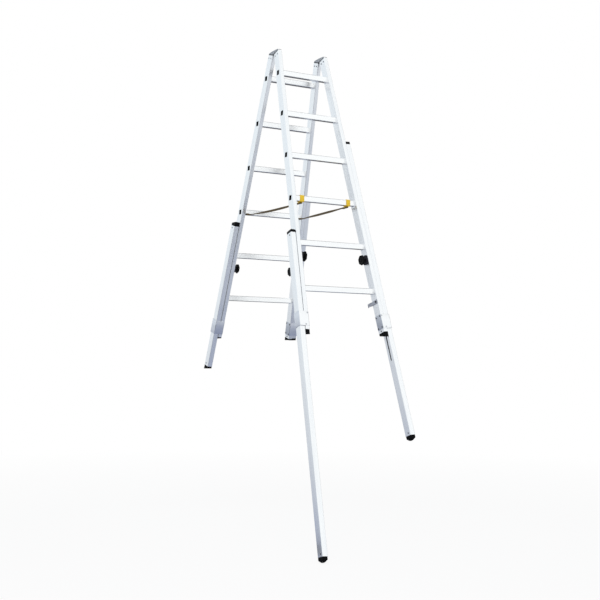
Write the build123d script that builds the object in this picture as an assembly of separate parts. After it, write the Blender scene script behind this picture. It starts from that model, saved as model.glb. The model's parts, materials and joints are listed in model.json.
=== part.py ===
from build123d import *
import os
from math import acos, atan2, cos, hypot, radians, sin, tan

# Stairwell ladder: two rung sections hinged at the top, with a sliding leg on the outside of every stile.
# Working frame: the hinge axis is the X axis, the front section leans to -Y and the rear section to +Y.
# Every piece is drawn for the front right stile and mirrored to the other three.

# Stance and sections
HALF_ANGLE = 17.25
TAPER = 3.1
TOP_HALF_WIDTH = 160.0
SECTION_GAP = 2.0

# Stiles
STILE_WIDTH = 25.0
STILE_DEPTH = 58.0
STILE_WALL = 2.0
STILE_CORNER = 3.0
STILE_TOP = 20.0
STILE_END = 1818.0

# Rungs
RUNG_COUNT = 6
RUNG_PITCH = 280.0
FIRST_RUNG = 162.5
RUNG_DEPTH = 30.0
RUNG_HEIGHT = 32.0
RUNG_WALL = 2.0
RUNG_BEVEL = 2.0
TREAD_GROOVES = 4
TREAD_GROOVE_STEP = 6.0
TREAD_GROOVE_WIDTH = 2.0
TREAD_GROOVE_DEPTH = 1.0

# Hinge heads, their seals and pins
HEAD_WIDTH = 22.0
HEAD_SHOULDER = 15.0
HEAD_EDGE = 6.0
HEAD_CORNER = 6.0
HEAD_LIP = 5.0
HEAD_PLUG_LENGTH = 45.0
PLUG_PLAY = 0.2
EYE_RADIUS = 11.0
EYE_WIDTH = 8.0
EYE_SIDE_GAP = 0.3
EYE_RELIEF = 11.6
PIN_RADIUS = 4.0
RUNNING_FIT = 0.05
SEAL_PROUD = 0.5
SEAL_BEVEL = 1.5

# Sliding legs
LEG_WIDTH = 30.0
LEG_DEPTH = 52.0
LEG_WALL = 2.0
LEG_CORNER = 3.0
LEG_GAP = 2.0
LEG_END_RISE = 2.0
FRONT_LEG_LENGTH = 1811.0
REAR_LEG_LENGTH = 922.0
SLOT_WIDTH = 11.0
SLOT_TOP_MARGIN = 105.0
SLOT_END_PLAY = 4.0
LEG_DRAWN_OUT = {
    ("front", "left"): 1229.5,
    ("front", "right"): 610.5,
    ("rear", "left"): 202.0,
    ("rear", "right"): 0.0,
}

# Stile feet, and the plugs in both ends of a leg: square on the front legs, level on the rear legs
FOOT_BEVEL = 3.0
FOOT_RIM = 2.0
FOOT_PLUG_LENGTH = 34.0
FOOT_THIN_EDGE = {"front": 12.0, "rear": 7.0}
SQUARE_FOOT_HEIGHT = 18.0
LEVEL_SOLE_DROP = 1.0

# Guide sleeves
SLEEVE_WALL = 1.5
SLEEVE_BEVEL = 3.0
SLEEVE_CORNER = 1.5
SLEEVE_TOP = 1712.0
SLEEVE_LENGTH = 86.0
SLEEVE_PLAY = 1.0

# Leg clamps
CLAMP_DROP = 1367.0
BLOCK_LENGTH = 58.0
BLOCK_DEPTH = 54.0
BLOCK_THICK = 7.0
BLOCK_BEVEL = 5.0
BLOCK_RIM = 1.5
BOLT_RADIUS = 5.0
BOLT_NECK = 10.0
BOLT_NECK_PLAY = 0.1
BOLT_HEAD_DEPTH = 22.0
BOLT_HEAD_LENGTH = 30.0
BOLT_HEAD_THICK = 5.0
BOLT_HEAD_PLAY = 0.4
KNOB_RADIUS = 28.5
KNOB_GRIP = 26.6
KNOB_HEAD_THICK = 11.0
KNOB_HUB_RADIUS = 12.0
KNOB_PLAY = 0.4
KNOB_LOBES = 7
KNOB_FLUTE_DEPTH = 2.2
KNOB_RIM = 2.0
KNOB_END_WALL = 6.0

# Carrying catch on the front right stile
CATCH_DROP = 1632.0
CATCH_WIDTH = 22.0
CATCH_SHEET = 3.0
CATCH_PIVOT_INSET = 16.0
CATCH_FRONT_END = 13.0
CATCH_REACH = 46.0
CATCH_TAB = 26.0
CATCH_STEP = 5.0
CATCH_NOTCH_RADIUS = 5.5
CATCH_PIVOT_RADIUS = 3.0
CATCH_RIVET_RADIUS = 6.0
CATCH_RIVET_HEAD = 2.4
CATCH_PLAY = 0.4

# Restraint straps: a clip on the front rung, webbing, and a stud on the rear stile
STRAP_RUNG = 3
CLIP_FROM_MIDDLE = 157.0
CLIP_WIDTH = 26.0
CLIP_WALL = 3.0
CLIP_PLAY = 0.3
CLIP_FOOT_DEPTH = 12.0
CLIP_FOOT_HEIGHT = 6.0
CLIP_FOOT_OFFSET = 9.0
CLIP_SLOT_WIDTH = 21.6
CLIP_BEVEL = 3.0
CLIP_SLOT_HEIGHT = 3.6
STRAP_WIDTH = 20.0
STRAP_THICK = 2.0
STRAP_SAG = 8.0
STUD_DROP = 1009.0
STUD_FROM_HINGE_PLANE = 5.0
STUD_RADIUS = 3.0
STUD_LENGTH = 28.0
STUD_HEAD_RADIUS = 6.0
STUD_HEAD = 2.0
STRAP_EYE_RADIUS = 4.0

# Values that follow from the driving dimensions
HALF_STILE = STILE_WIDTH / 2
STILE_MID = SECTION_GAP + STILE_DEPTH / 2
LEG_INNER = HALF_STILE + LEG_GAP
LEG_MID = LEG_INNER + LEG_WIDTH / 2
LEG_OUTER = LEG_INNER + LEG_WIDTH
RUNG_DROPS = [FIRST_RUNG + index * RUNG_PITCH for index in range(RUNG_COUNT)]
BLOCK_FACE = -HALF_STILE - BLOCK_THICK
KNOB_END = BLOCK_FACE - KNOB_PLAY - KNOB_GRIP
LEG_LENGTHS = {"front": FRONT_LEG_LENGTH, "rear": REAR_LEG_LENGTH}
LEG_END = STILE_END - LEG_END_RISE
FAR = 400.0

SECTION_FRAME = Rot(-HALF_ANGLE, 0, 0)
STILE_FRAME = SECTION_FRAME * Pos(TOP_HALF_WIDTH, 0, 0) * Rot(0, -TAPER, 0)
LEG_AXIS = Plane(STILE_FRAME).z_dir * -1


def place(shape, section, side):
    """Mirror a front right shape to one of the four stiles."""
    if side == "left":
        shape = mirror(shape, Plane.YZ)
    if section == "rear":
        shape = mirror(shape, Plane.XZ)
    return shape


def block(width, depth, length, x, y, top):
    """A box in the stile's frame, hanging down from its top."""
    return Pos(x, y, -top - length / 2) * Box(width, depth, length)


def bevelled(width, height, bevel):
    """A rectangle with its corners cut off."""
    return chamfer(Rectangle(width, height).vertices(), bevel)


def tube(width, depth, wall, corner, x, y, top, end):
    """A box tube in the stile's frame, with rounded outer corners."""
    outside = RectangleRounded(width, depth, corner)
    inside = Rectangle(width - 2 * wall, depth - 2 * wall)
    return Pos(x, y, -end) * extrude(outside - inside, end - top)


def plug(width, depth, length, x, top):
    """A plug in the stile's frame that fits a tube's inside with a little play."""
    return block(width - 2 * PLUG_PLAY, depth - 2 * PLUG_PLAY, length, x, -STILE_MID, top)


def stile_plug(length, top):
    return plug(STILE_WIDTH - 2 * STILE_WALL, STILE_DEPTH - 2 * STILE_WALL, length, 0, top)


def leg_plug(length, top):
    return plug(LEG_WIDTH - 2 * LEG_WALL, LEG_DEPTH - 2 * LEG_WALL, length, LEG_MID, top)


def rod(radius, start, end, y, drop):
    """A cylinder across the stile, from one sideways place to another."""
    length = end - start
    return Pos((start + end) / 2, y, -drop) * Rot(0, 90, 0) * Cylinder(radius, length)


def level_cut(shape, height):
    """Keep what stands above a level plane."""
    below = Pos(0, 0, height - FAR) * Box(8 * FAR, 8 * FAR, 2 * FAR)
    return shape - below


def height_of(x, y, drop):
    """Height of a point given in the stile's frame."""
    return (STILE_FRAME * Pos(x, y, -drop)).position.Z


def rung_plane(drop, x):
    """The level plane across a front rung at a sideways place."""
    centre = (SECTION_FRAME * Pos(0, -STILE_MID, -drop)).position
    return Plane((x, centre.Y, centre.Z), x_dir=(0, 1, 0), z_dir=(1, 0, 0))


def between_stiles(offset):
    """The front section's room between the two planes at one offset from the stiles' middles."""
    corners = []
    for drop in (-FAR, STILE_END + FAR):
        corners.append((TOP_HALF_WIDTH + drop * tan(radians(TAPER)) + offset / cos(radians(TAPER)), -drop))
    (upper_x, upper_z), (lower_x, lower_z) = corners
    outline = Polyline(
        (upper_x, 0, upper_z), (lower_x, 0, lower_z), (-lower_x, 0, lower_z), (-upper_x, 0, upper_z),
        close=True,
    )
    return SECTION_FRAME * extrude(make_face(outline), FAR, both=True)


def sole_height(section):
    """Height of the level sole under a section's stiles."""
    return height_of(0, -SECTION_GAP, STILE_END + FOOT_THIN_EDGE[section])


def rung(drop):
    """A hollow level rung with a grooved tread, right through both stiles."""
    outside = bevelled(RUNG_DEPTH, RUNG_HEIGHT, RUNG_BEVEL)
    grooves = Pos(0, RUNG_HEIGHT / 2) * GridLocations(TREAD_GROOVE_STEP, 0, TREAD_GROOVES, 1)
    grooves = grooves * Rectangle(TREAD_GROOVE_WIDTH, 2 * TREAD_GROOVE_DEPTH)
    bore = Rectangle(RUNG_DEPTH - 2 * RUNG_WALL, RUNG_HEIGHT - 2 * RUNG_WALL)
    profile = outside - grooves - bore
    return extrude(rung_plane(drop, -FAR) * profile, 2 * FAR) & between_stiles(HALF_STILE)


def stile():
    """A box tube pierced by the rungs and the clamp bolt."""
    shape = tube(
        STILE_WIDTH, STILE_DEPTH, STILE_WALL, STILE_CORNER, 0, -STILE_MID, STILE_TOP, STILE_END,
    )
    shape = STILE_FRAME * (shape - neck(-STILE_WIDTH, STILE_WIDTH, BOLT_NECK_PLAY))
    for drop in RUNG_DROPS:
        shape -= extrude(rung_plane(drop, 0) * bevelled(RUNG_DEPTH, RUNG_HEIGHT, RUNG_BEVEL), FAR)
    return shape


def hinge_head(section):
    """A cast head: a wedge from the tube end up to the pin's eye, a front lip and a tang inside the stile."""
    front_edge = SECTION_GAP + STILE_DEPTH
    drop = HEAD_SHOULDER - HEAD_EDGE
    tangent = acos(EYE_RADIUS / hypot(front_edge, drop)) - atan2(drop, front_edge)
    outline = Polyline(
        (-SECTION_GAP, -2 * STILE_TOP),
        (-front_edge, -2 * STILE_TOP),
        (-front_edge, -drop - HEAD_CORNER),
        (-front_edge + HEAD_CORNER / 3, -drop - HEAD_CORNER / 3),
        (-front_edge + HEAD_CORNER, -drop + HEAD_CORNER / 5),
        (-EYE_RADIUS * cos(tangent), EYE_RADIUS * sin(tangent)),
        (-SECTION_GAP, 0),
        close=True,
    )
    middle = eye_middle()
    side_face = Plane((middle, 0, 0), x_dir=(0, 1, 0), z_dir=(1, 0, 0))
    flat = make_face(outline) + Circle(EYE_RADIUS)
    shape = SECTION_FRAME * extrude(side_face * flat, HEAD_WIDTH / 2, both=True)
    shape -= STILE_FRAME * block(FAR, FAR, FAR, 0, -STILE_MID, HEAD_SHOULDER)
    shape += STILE_FRAME * head_lip()
    if section == "front":
        shape -= eye_cut(FAR) - eye_cut(EYE_WIDTH)
    else:
        shape -= eye_cut(EYE_WIDTH + 2 * EYE_SIDE_GAP)
    tang = stile_plug(HEAD_PLUG_LENGTH + STILE_TOP - HEAD_SHOULDER, HEAD_SHOULDER)
    shape += STILE_FRAME * tang
    return shape - Pos(middle, 0, 0) * Rot(0, 90, 0) * Cylinder(PIN_RADIUS + RUNNING_FIT, 2 * STILE_WIDTH)


def head_lip():
    """The head's front edge in the stile's frame, brought down past the seal to the tube end."""
    middle = -SECTION_GAP - STILE_DEPTH + HEAD_LIP / 2
    return block(HEAD_WIDTH, HEAD_LIP, STILE_TOP - HEAD_SHOULDER, 0, middle, HEAD_SHOULDER)


def eye_middle():
    return TOP_HALF_WIDTH + HEAD_SHOULDER * tan(radians(TAPER))


def eye_cut(width):
    """A square cut round the hinge axis, as wide as the other head's part that turns in it."""
    return SECTION_FRAME * Pos(eye_middle(), 0, 0) * Box(width, 2 * EYE_RELIEF, 2 * EYE_RELIEF)


def hinge_pin():
    """A pin as long as the head is wide."""
    return Pos(eye_middle(), 0, 0) * Rot(0, 90, 0) * Cylinder(PIN_RADIUS, HEAD_WIDTH - 2 * EYE_SIDE_GAP)


def top_seal():
    """A black collar round the tang, between the tube end and the head, open at the head's lip."""
    height = STILE_TOP - HEAD_SHOULDER
    collar = bevelled(STILE_WIDTH, STILE_DEPTH + 2 * SEAL_PROUD, SEAL_BEVEL)
    tang = Rectangle(STILE_WIDTH - 2 * STILE_WALL, STILE_DEPTH - 2 * STILE_WALL)
    lip = Pos(0, -STILE_DEPTH / 2) * Rectangle(2 * STILE_WIDTH, 2 * HEAD_LIP)
    return STILE_FRAME * Pos(0, -STILE_MID, -STILE_TOP) * extrude(collar - tang - lip, height)


def stile_foot(section):
    """A black plug with a wedge under the tube end, so that its sole is level."""
    wedge = bevelled(STILE_WIDTH, STILE_DEPTH, FOOT_BEVEL)
    shape = Pos(0, -STILE_MID, -STILE_END - STILE_DEPTH) * extrude(wedge, STILE_DEPTH)
    shape += stile_plug(FOOT_PLUG_LENGTH, STILE_END - FOOT_PLUG_LENGTH)
    return level_cut(STILE_FRAME * shape, sole_height(section))


def leg(section):
    """A box tube with a long clamp slot in the face that slides past the stile, fully pushed in."""
    top = LEG_END - LEG_LENGTHS[section]
    shape = tube(LEG_WIDTH, LEG_DEPTH, LEG_WALL, LEG_CORNER, LEG_MID, -STILE_MID, top, LEG_END)
    slot_top = top + SLOT_TOP_MARGIN
    slot_end = CLAMP_DROP + SLOT_END_PLAY
    shape -= block(
        2 * LEG_WALL, SLOT_WIDTH, slot_end - slot_top, LEG_INNER, -STILE_MID, slot_top,
    )
    for drop in (slot_top, slot_end):
        shape -= rod(SLOT_WIDTH / 2, LEG_INNER - LEG_WALL, LEG_INNER + 2 * LEG_WALL, -STILE_MID, drop)
    return STILE_FRAME * shape


def leg_foot(section):
    """A black plug in the leg's lower end, flush with the tube."""
    body = bevelled(LEG_WIDTH, LEG_DEPTH, FOOT_BEVEL)
    height = SQUARE_FOOT_HEIGHT if section == "front" else LEG_DEPTH
    body = extrude(body, height)
    if section == "front":
        body = chamfer(body.faces().sort_by(Axis.Z)[0].edges(), FOOT_RIM)
    shape = Pos(LEG_MID, -STILE_MID, -LEG_END - height) * body
    shape = STILE_FRAME * (shape + leg_plug(FOOT_PLUG_LENGTH, LEG_END - FOOT_PLUG_LENGTH))
    if section == "front":
        return shape
    return level_cut(shape, sole_height(section) - LEVEL_SOLE_DROP)


def leg_cap(section):
    """The same plug turned end for end, in the leg's upper end."""
    middle = STILE_FRAME * Pos(0, -STILE_MID, LEG_LENGTHS[section] / 2 - LEG_END)
    return middle * Rot(180, 0, 0) * middle.inverse() * leg_foot(section)


def guide_sleeve():
    """A sheet band round the stile and the leg."""
    room = LEG_OUTER + SLEEVE_PLAY + HALF_STILE
    outside = bevelled(room + 2 * SLEEVE_WALL, STILE_DEPTH + 2 * SLEEVE_WALL, SLEEVE_BEVEL)
    inside = bevelled(room, STILE_DEPTH, SLEEVE_CORNER)
    seat = Pos(room / 2 - HALF_STILE, -STILE_MID, -SLEEVE_TOP - SLEEVE_LENGTH)
    return STILE_FRAME * seat * extrude(outside - inside, SLEEVE_LENGTH)


def clamp_block():
    """A black pad on the inner face, under the knob."""
    pad = extrude(bevelled(BLOCK_DEPTH, BLOCK_LENGTH, BLOCK_BEVEL), BLOCK_THICK)
    pad = chamfer(pad.faces().sort_by(Axis.Z)[-1].edges(), BLOCK_RIM)
    shape = Pos(-HALF_STILE, -STILE_MID, -CLAMP_DROP) * Rot(0, -90, 0) * Rot(0, 0, 90) * pad
    return STILE_FRAME * (shape - neck(-STILE_WIDTH, STILE_WIDTH, BOLT_NECK_PLAY))


def neck(start, end, play):
    """The square neck of the clamp bolt, from one sideways place to another."""
    side = BOLT_NECK + 2 * play
    return Pos((start + end) / 2, -STILE_MID, -CLAMP_DROP) * Box(end - start, side, side)


def clamp_bolt():
    """A bolt from the knob through the stile, with a square neck and a T head inside the leg."""
    head_face = LEG_INNER + LEG_WALL + BOLT_HEAD_PLAY
    head = Pos(head_face + BOLT_HEAD_THICK / 2, -STILE_MID, -CLAMP_DROP)
    head = head * Box(BOLT_HEAD_THICK, BOLT_HEAD_DEPTH, BOLT_HEAD_LENGTH)
    shank = rod(BOLT_RADIUS, KNOB_END + KNOB_END_WALL + KNOB_PLAY, BLOCK_FACE, -STILE_MID, CLAMP_DROP)
    return STILE_FRAME * (head + neck(BLOCK_FACE, head_face, 0) + shank)


def knob():
    """A hand knob turning on the bolt: a lobed head with a bevelled rim on a faceted hub."""
    step = 360 / (4 * KNOB_LOBES)
    points = []
    for index in range(4 * KNOB_LOBES):
        reach = KNOB_RADIUS if index % 4 < 2 else KNOB_RADIUS - KNOB_FLUTE_DEPTH
        points.append(Vector(reach, 0).rotate(Axis.Z, index * step))
    head = extrude(make_face(Polyline(*points, close=True)), KNOB_HEAD_THICK)
    head = chamfer(head.faces().sort_by(Axis.Z)[-1].edges(), KNOB_RIM)
    hub_length = KNOB_GRIP - KNOB_HEAD_THICK
    hub = extrude(RegularPolygon(KNOB_HUB_RADIUS, 2 * KNOB_LOBES), hub_length)
    shape = hub + Pos(0, 0, hub_length) * head
    depth = KNOB_GRIP - KNOB_END_WALL
    shape -= Pos(0, 0, depth / 2) * Cylinder(BOLT_RADIUS + RUNNING_FIT, depth)
    seat = Pos(KNOB_END + KNOB_GRIP, -STILE_MID, -CLAMP_DROP) * Rot(0, -90, 0)
    return STILE_FRAME * seat * shape


def catch_seat():
    """Sideways place of the catch's back and its pivot's distance from the hinge plane."""
    return -HALF_STILE - CATCH_PLAY, -SECTION_GAP - STILE_DEPTH + CATCH_PIVOT_INSET


def carrying_catch():
    """A sheet catch across the inner face, stepped inwards to a finger tab with a notch."""
    back, pivot_y = catch_seat()
    outline = Polyline(
        (back, pivot_y - CATCH_FRONT_END),
        (back, pivot_y + CATCH_REACH),
        (back - CATCH_STEP, pivot_y + CATCH_REACH + CATCH_STEP),
        (back - CATCH_STEP, pivot_y + CATCH_REACH + CATCH_STEP + CATCH_TAB),
        (back - CATCH_STEP - CATCH_SHEET, pivot_y + CATCH_REACH + CATCH_STEP + CATCH_TAB),
        (back - CATCH_STEP - CATCH_SHEET, pivot_y + CATCH_REACH + CATCH_STEP - CATCH_SHEET / 2),
        (back - CATCH_SHEET, pivot_y + CATCH_REACH - CATCH_SHEET / 2),
        (back - CATCH_SHEET, pivot_y - CATCH_FRONT_END),
        close=True,
    )
    strip = Pos(0, 0, -CATCH_DROP) * extrude(make_face(outline), CATCH_WIDTH / 2, both=True)
    strip -= rod(CATCH_PIVOT_RADIUS + RUNNING_FIT, -FAR, FAR, pivot_y, CATCH_DROP)
    notch_y = pivot_y + CATCH_REACH + CATCH_STEP + CATCH_TAB / 2
    strip -= rod(CATCH_NOTCH_RADIUS, -FAR, FAR, notch_y, CATCH_DROP + CATCH_WIDTH / 2)
    return STILE_FRAME * strip


def catch_pivot():
    """The rivet that the catch turns on."""
    back, pivot_y = catch_seat()
    outer = back - CATCH_SHEET - CATCH_PLAY
    shape = rod(CATCH_PIVOT_RADIUS, outer, STILE_WALL - HALF_STILE, pivot_y, CATCH_DROP)
    shape += rod(CATCH_RIVET_RADIUS, outer - CATCH_RIVET_HEAD, outer, pivot_y, CATCH_DROP)
    return STILE_FRAME * shape


def clip_under():
    """Depth of the rung clip's underside below the middle of the rung."""
    return RUNG_HEIGHT / 2 + CLIP_PLAY + CLIP_WALL


def strap_clip():
    """A yellow clip round the front rung, with a slotted foot that the webbing is sewn through."""
    room = bevelled(RUNG_DEPTH + 2 * CLIP_PLAY, RUNG_HEIGHT + 2 * CLIP_PLAY, RUNG_BEVEL)
    grown = CLIP_PLAY + CLIP_WALL
    ring = bevelled(RUNG_DEPTH + 2 * grown, RUNG_HEIGHT + 2 * grown, CLIP_BEVEL) - room
    foot_middle = -clip_under() - CLIP_FOOT_HEIGHT / 2 + CLIP_WALL / 2
    foot = Pos(CLIP_FOOT_OFFSET, foot_middle) * Rectangle(CLIP_FOOT_DEPTH, CLIP_FOOT_HEIGHT + CLIP_WALL)
    plane = rung_plane(RUNG_DROPS[STRAP_RUNG], CLIP_FROM_MIDDLE)
    shape = extrude(plane * (ring + foot), CLIP_WIDTH / 2, both=True)
    anchor = strap_anchor()
    return shape - Pos(anchor.X, anchor.Y, anchor.Z) * Box(CLIP_SLOT_WIDTH, FAR / 4, CLIP_SLOT_HEIGHT)


def strap_anchor():
    """Middle of the slot in the clip's foot."""
    middle = rung_plane(RUNG_DROPS[STRAP_RUNG], CLIP_FROM_MIDDLE).origin
    return middle + Vector(0, CLIP_FOOT_OFFSET, -clip_under() - CLIP_FOOT_HEIGHT / 2)


def strap_stud():
    """A headed stud on the inner face of the stile, drawn on the front right stile."""
    tip = -HALF_STILE - STUD_LENGTH
    shape = rod(STUD_RADIUS, tip, -HALF_STILE, -STUD_FROM_HINGE_PLANE, STUD_DROP)
    shape += rod(STUD_HEAD_RADIUS, tip - STUD_HEAD, tip, -STUD_FROM_HINGE_PLANE, STUD_DROP)
    return STILE_FRAME * shape


def strap():
    """Webbing from the clip on the front rung to an eye round the rear stile's stud, with a little sag."""
    anchor = strap_anchor()
    middle = -HALF_STILE - STUD_LENGTH / 2
    stud = (STILE_FRAME * Pos(middle, -STUD_FROM_HINGE_PLANE, -STUD_DROP)).position
    stud = Vector(stud.X, -stud.Y, stud.Z)
    level = Vector(stud.X - anchor.X, stud.Y - anchor.Y, 0)
    span = level.length
    rise = stud.Z - anchor.Z
    eye = STRAP_EYE_RADIUS + STRAP_THICK
    end = rise - eye + STRAP_THICK / 2
    half = STRAP_THICK / 2
    tail = CLIP_FOOT_DEPTH / 2
    arcs = []
    for offset in (half, -half):
        lowest = (span / 2, end / 2 - STRAP_SAG + offset)
        arcs.append(ThreePointArc((-tail, offset), lowest, (span, end + offset)))
    upper, lower = arcs
    flat = make_face([upper.edge(), lower.edge(), Line(upper @ 0, lower @ 0).edge(),
                      Line(upper @ 1, lower @ 1).edge()])
    flat = flat + Pos(span, rise) * Circle(eye) - Pos(span, rise) * Circle(STRAP_EYE_RADIUS)
    plane = Plane(anchor, x_dir=level, z_dir=level.cross(Vector(0, 0, 1)))
    return extrude(plane * flat, STRAP_WIDTH / 2, both=True)


def build():
    """Every node of the ladder by name, in the hinge frame."""
    nodes = {}
    front_right_stile = stile()
    sections = ("front", "rear")
    sides = ("left", "right")
    rungs = [rung(drop) for drop in RUNG_DROPS]
    for section in sections:
        for side in sides:
            corner = section + "_" + side
            nodes[corner + "_stile"] = place(front_right_stile, section, side)
            nodes[corner + "_hinge_head"] = place(hinge_head(section), section, side)
            nodes[corner + "_stile_foot"] = place(stile_foot(section), section, side)
            nodes[corner + "_guide_sleeve"] = place(guide_sleeve(), section, side)
            nodes[corner + "_clamp_block"] = place(clamp_block(), section, side)
            nodes[corner + "_clamp_knob"] = place(knob(), section, side)
            draw_out = Pos(*(LEG_AXIS * LEG_DRAWN_OUT[section, side]))
            nodes[corner + "_leg"] = place(draw_out * leg(section), section, side)
            nodes[corner + "_leg_cap"] = place(draw_out * leg_cap(section), section, side)
            nodes[corner + "_leg_foot"] = place(draw_out * leg_foot(section), section, side)
        for index, shape in enumerate(rungs):
            nodes[f"{section}_rung_{index + 1}"] = place(shape, section, "right")
        nodes[section + "_clamp_bolts"] = [place(clamp_bolt(), section, side) for side in sides]
        nodes[section + "_top_seals"] = [place(top_seal(), section, side) for side in sides]
    pivot_y = catch_seat()[1]
    catch_hole = STILE_FRAME * rod(CATCH_PIVOT_RADIUS, -STILE_WIDTH, 0, pivot_y, CATCH_DROP)
    nodes["front_right_stile"] = nodes["front_right_stile"] - catch_hole
    nodes["carrying_catch"] = carrying_catch()
    nodes["catch_pivot"] = catch_pivot()
    nodes["hinge_pins"] = [place(hinge_pin(), "front", side) for side in sides]
    nodes["strap_clips"] = [place(strap_clip(), "front", side) for side in sides]
    nodes["strap_studs"] = [place(strap_stud(), "rear", side) for side in sides]
    for side in sides:
        nodes[side + "_strap"] = place(strap(), "front", side)
    return nodes


def as_one(shape):
    """A node's solid, or a compound of its separate solids."""
    parts = shape if isinstance(shape, list) else [shape]
    solids = [solid for part in parts for solid in part.solids()]
    if len(solids) == 1:
        return solids[0]
    return Compound(children=solids)


NODES = {name: as_one(shape) for name, shape in build().items()}

# The part stands in its own frame: Z is 0 at the lowest sole, under the middle of the whole ladder's box
WHOLE = Compound(children=[node.moved(Location()) for node in NODES.values()]).bounding_box()
TO_ROW_FRAME = Pos(-WHOLE.center().X, -WHOLE.center().Y, -WHOLE.min.Z)

os.makedirs("parts", exist_ok=True)
for name, node in NODES.items():
    export_step(TO_ROW_FRAME * node, f"parts/{name}.step")
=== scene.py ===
import json
import math
import bpy
from mathutils import Matrix, Vector


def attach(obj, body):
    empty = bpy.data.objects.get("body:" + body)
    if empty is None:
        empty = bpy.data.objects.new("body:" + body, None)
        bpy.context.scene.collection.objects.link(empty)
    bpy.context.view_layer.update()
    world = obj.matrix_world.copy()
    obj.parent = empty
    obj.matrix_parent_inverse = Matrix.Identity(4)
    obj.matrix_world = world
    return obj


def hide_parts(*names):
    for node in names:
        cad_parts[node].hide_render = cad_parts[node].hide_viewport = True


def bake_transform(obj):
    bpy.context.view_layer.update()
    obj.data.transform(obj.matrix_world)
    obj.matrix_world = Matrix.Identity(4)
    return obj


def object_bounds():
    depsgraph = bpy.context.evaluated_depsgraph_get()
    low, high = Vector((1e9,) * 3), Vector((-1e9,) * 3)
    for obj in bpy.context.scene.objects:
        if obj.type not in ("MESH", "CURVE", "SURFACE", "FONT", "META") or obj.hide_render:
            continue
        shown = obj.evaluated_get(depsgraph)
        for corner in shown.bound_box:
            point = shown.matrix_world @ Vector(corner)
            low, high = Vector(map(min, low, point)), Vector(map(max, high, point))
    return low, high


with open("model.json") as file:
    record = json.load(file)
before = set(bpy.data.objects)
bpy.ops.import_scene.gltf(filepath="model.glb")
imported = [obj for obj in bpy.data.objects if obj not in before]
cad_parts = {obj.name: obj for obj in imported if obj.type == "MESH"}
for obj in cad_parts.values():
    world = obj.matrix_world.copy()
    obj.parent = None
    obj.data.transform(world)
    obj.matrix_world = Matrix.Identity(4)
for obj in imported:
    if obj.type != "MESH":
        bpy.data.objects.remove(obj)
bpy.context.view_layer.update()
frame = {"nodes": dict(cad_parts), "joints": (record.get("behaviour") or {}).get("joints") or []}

# Stiles
# The four side rails are extruded aluminium box tubes in mill finish, sawn square at both ends. They splay
# towards the bottom and are pierced for the rungs. The die leaves fine lines along them.
nodes = frame["nodes"]
joints = {joint["name"]: joint for joint in frame["joints"]}
CORNERS = ("front_left", "front_right", "rear_left", "rear_right")
STILE_LIGHT = (0.955, 0.962, 0.97)
STILE_DARK = (0.87, 0.885, 0.91)
STILE_SHINE = 0.22


class Socket:
    """A shader socket that can be added, multiplied and passed on to further nodes."""

    def __init__(self, tree, socket):
        self.tree = tree
        self.socket = socket

    def node(self, kind, settings=None, sockets=None, out=0):
        made = self.tree.nodes.new(kind)
        for name, value in (settings or {}).items():
            setattr(made, name, value)
        for name, value in (sockets or {}).items():
            if isinstance(value, Socket):
                self.tree.links.new(value.socket, made.inputs[name])
            else:
                made.inputs[name].default_value = value
        return Socket(self.tree, made.outputs[out])

    def math(self, operation, first, second=0.0):
        return self.node("ShaderNodeMath", {"operation": operation}, {0: first, 1: second})

    def __add__(self, other):
        return self.math("ADD", self, other)

    __radd__ = __add__

    def __mul__(self, other):
        return self.math("MULTIPLY", self, other)

    __rmul__ = __mul__

    def __sub__(self, other):
        return self.math("SUBTRACT", self, other)

    def __rsub__(self, other):
        return self.math("SUBTRACT", other, self)

    def along(self, direction):
        """The distance of this point along a direction."""
        sockets = {0: self, 1: direction}
        return self.node("ShaderNodeVectorMath", {"operation": "DOT_PRODUCT"}, sockets, "Value")

    def range(self, low, high, to_low=0.0, to_high=1.0):
        sockets = {"From Min": low, "From Max": high, "To Min": to_low, "To Max": to_high, "Value": self}
        return self.node("ShaderNodeMapRange", {"clamp": True}, sockets)

    def noise(self, scale, detail=3.0, roughness=0.55):
        sockets = {"Vector": self, "Scale": scale, "Detail": detail, "Roughness": roughness}
        return self.node("ShaderNodeTexNoise", None, sockets, "Fac")

    def mix(self, low, high):
        """A colour between two, by this factor."""
        low = low if isinstance(low, Socket) else (*low, 1)
        high = high if isinstance(high, Socket) else (*high, 1)
        return self.node("ShaderNodeMix", {"data_type": "RGBA"}, {0: self, 6: low, 7: high}, 2)


def finish(name):
    """A new material: its shader, and the point on the object as a socket."""
    material = bpy.data.materials.new(name)
    material.use_nodes = True
    shader = material.node_tree.nodes["Principled BSDF"]
    start = Socket(material.node_tree, None)
    place = start.node("ShaderNodeTexCoord", None, None, "Object")
    return material, shader, place


def feed(shader, **values):
    """Set the shader's sockets, by number, colour or link."""
    names = {"colour": "Base Color", "roughness": "Roughness", "metallic": "Metallic", "normal": "Normal",
             "specular": "Specular IOR Level", "coat": "Coat Weight"}
    for key, value in values.items():
        socket = shader.inputs[names[key]]
        if isinstance(value, Socket):
            value.tree.links.new(value.socket, socket)
        else:
            socket.default_value = value


def bump(height, strength, distance):
    return height.node("ShaderNodeBump", None, {"Height": height, "Strength": strength, "Distance": distance})


def lengthwise(place, axis, squeeze):
    """Coordinates squeezed along an axis, so that a noise on them draws out into lines."""
    axis = Vector(axis).normalized()
    other = axis.orthogonal().normalized()
    third = axis.cross(other)
    return place.node("ShaderNodeCombineXYZ", None, {
        "X": place.along(other), "Y": place.along(third), "Z": place.along(axis) * squeeze,
    })


def paint(node, material):
    mesh = nodes[node].data
    mesh.materials.clear()
    mesh.materials.append(material)


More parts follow.
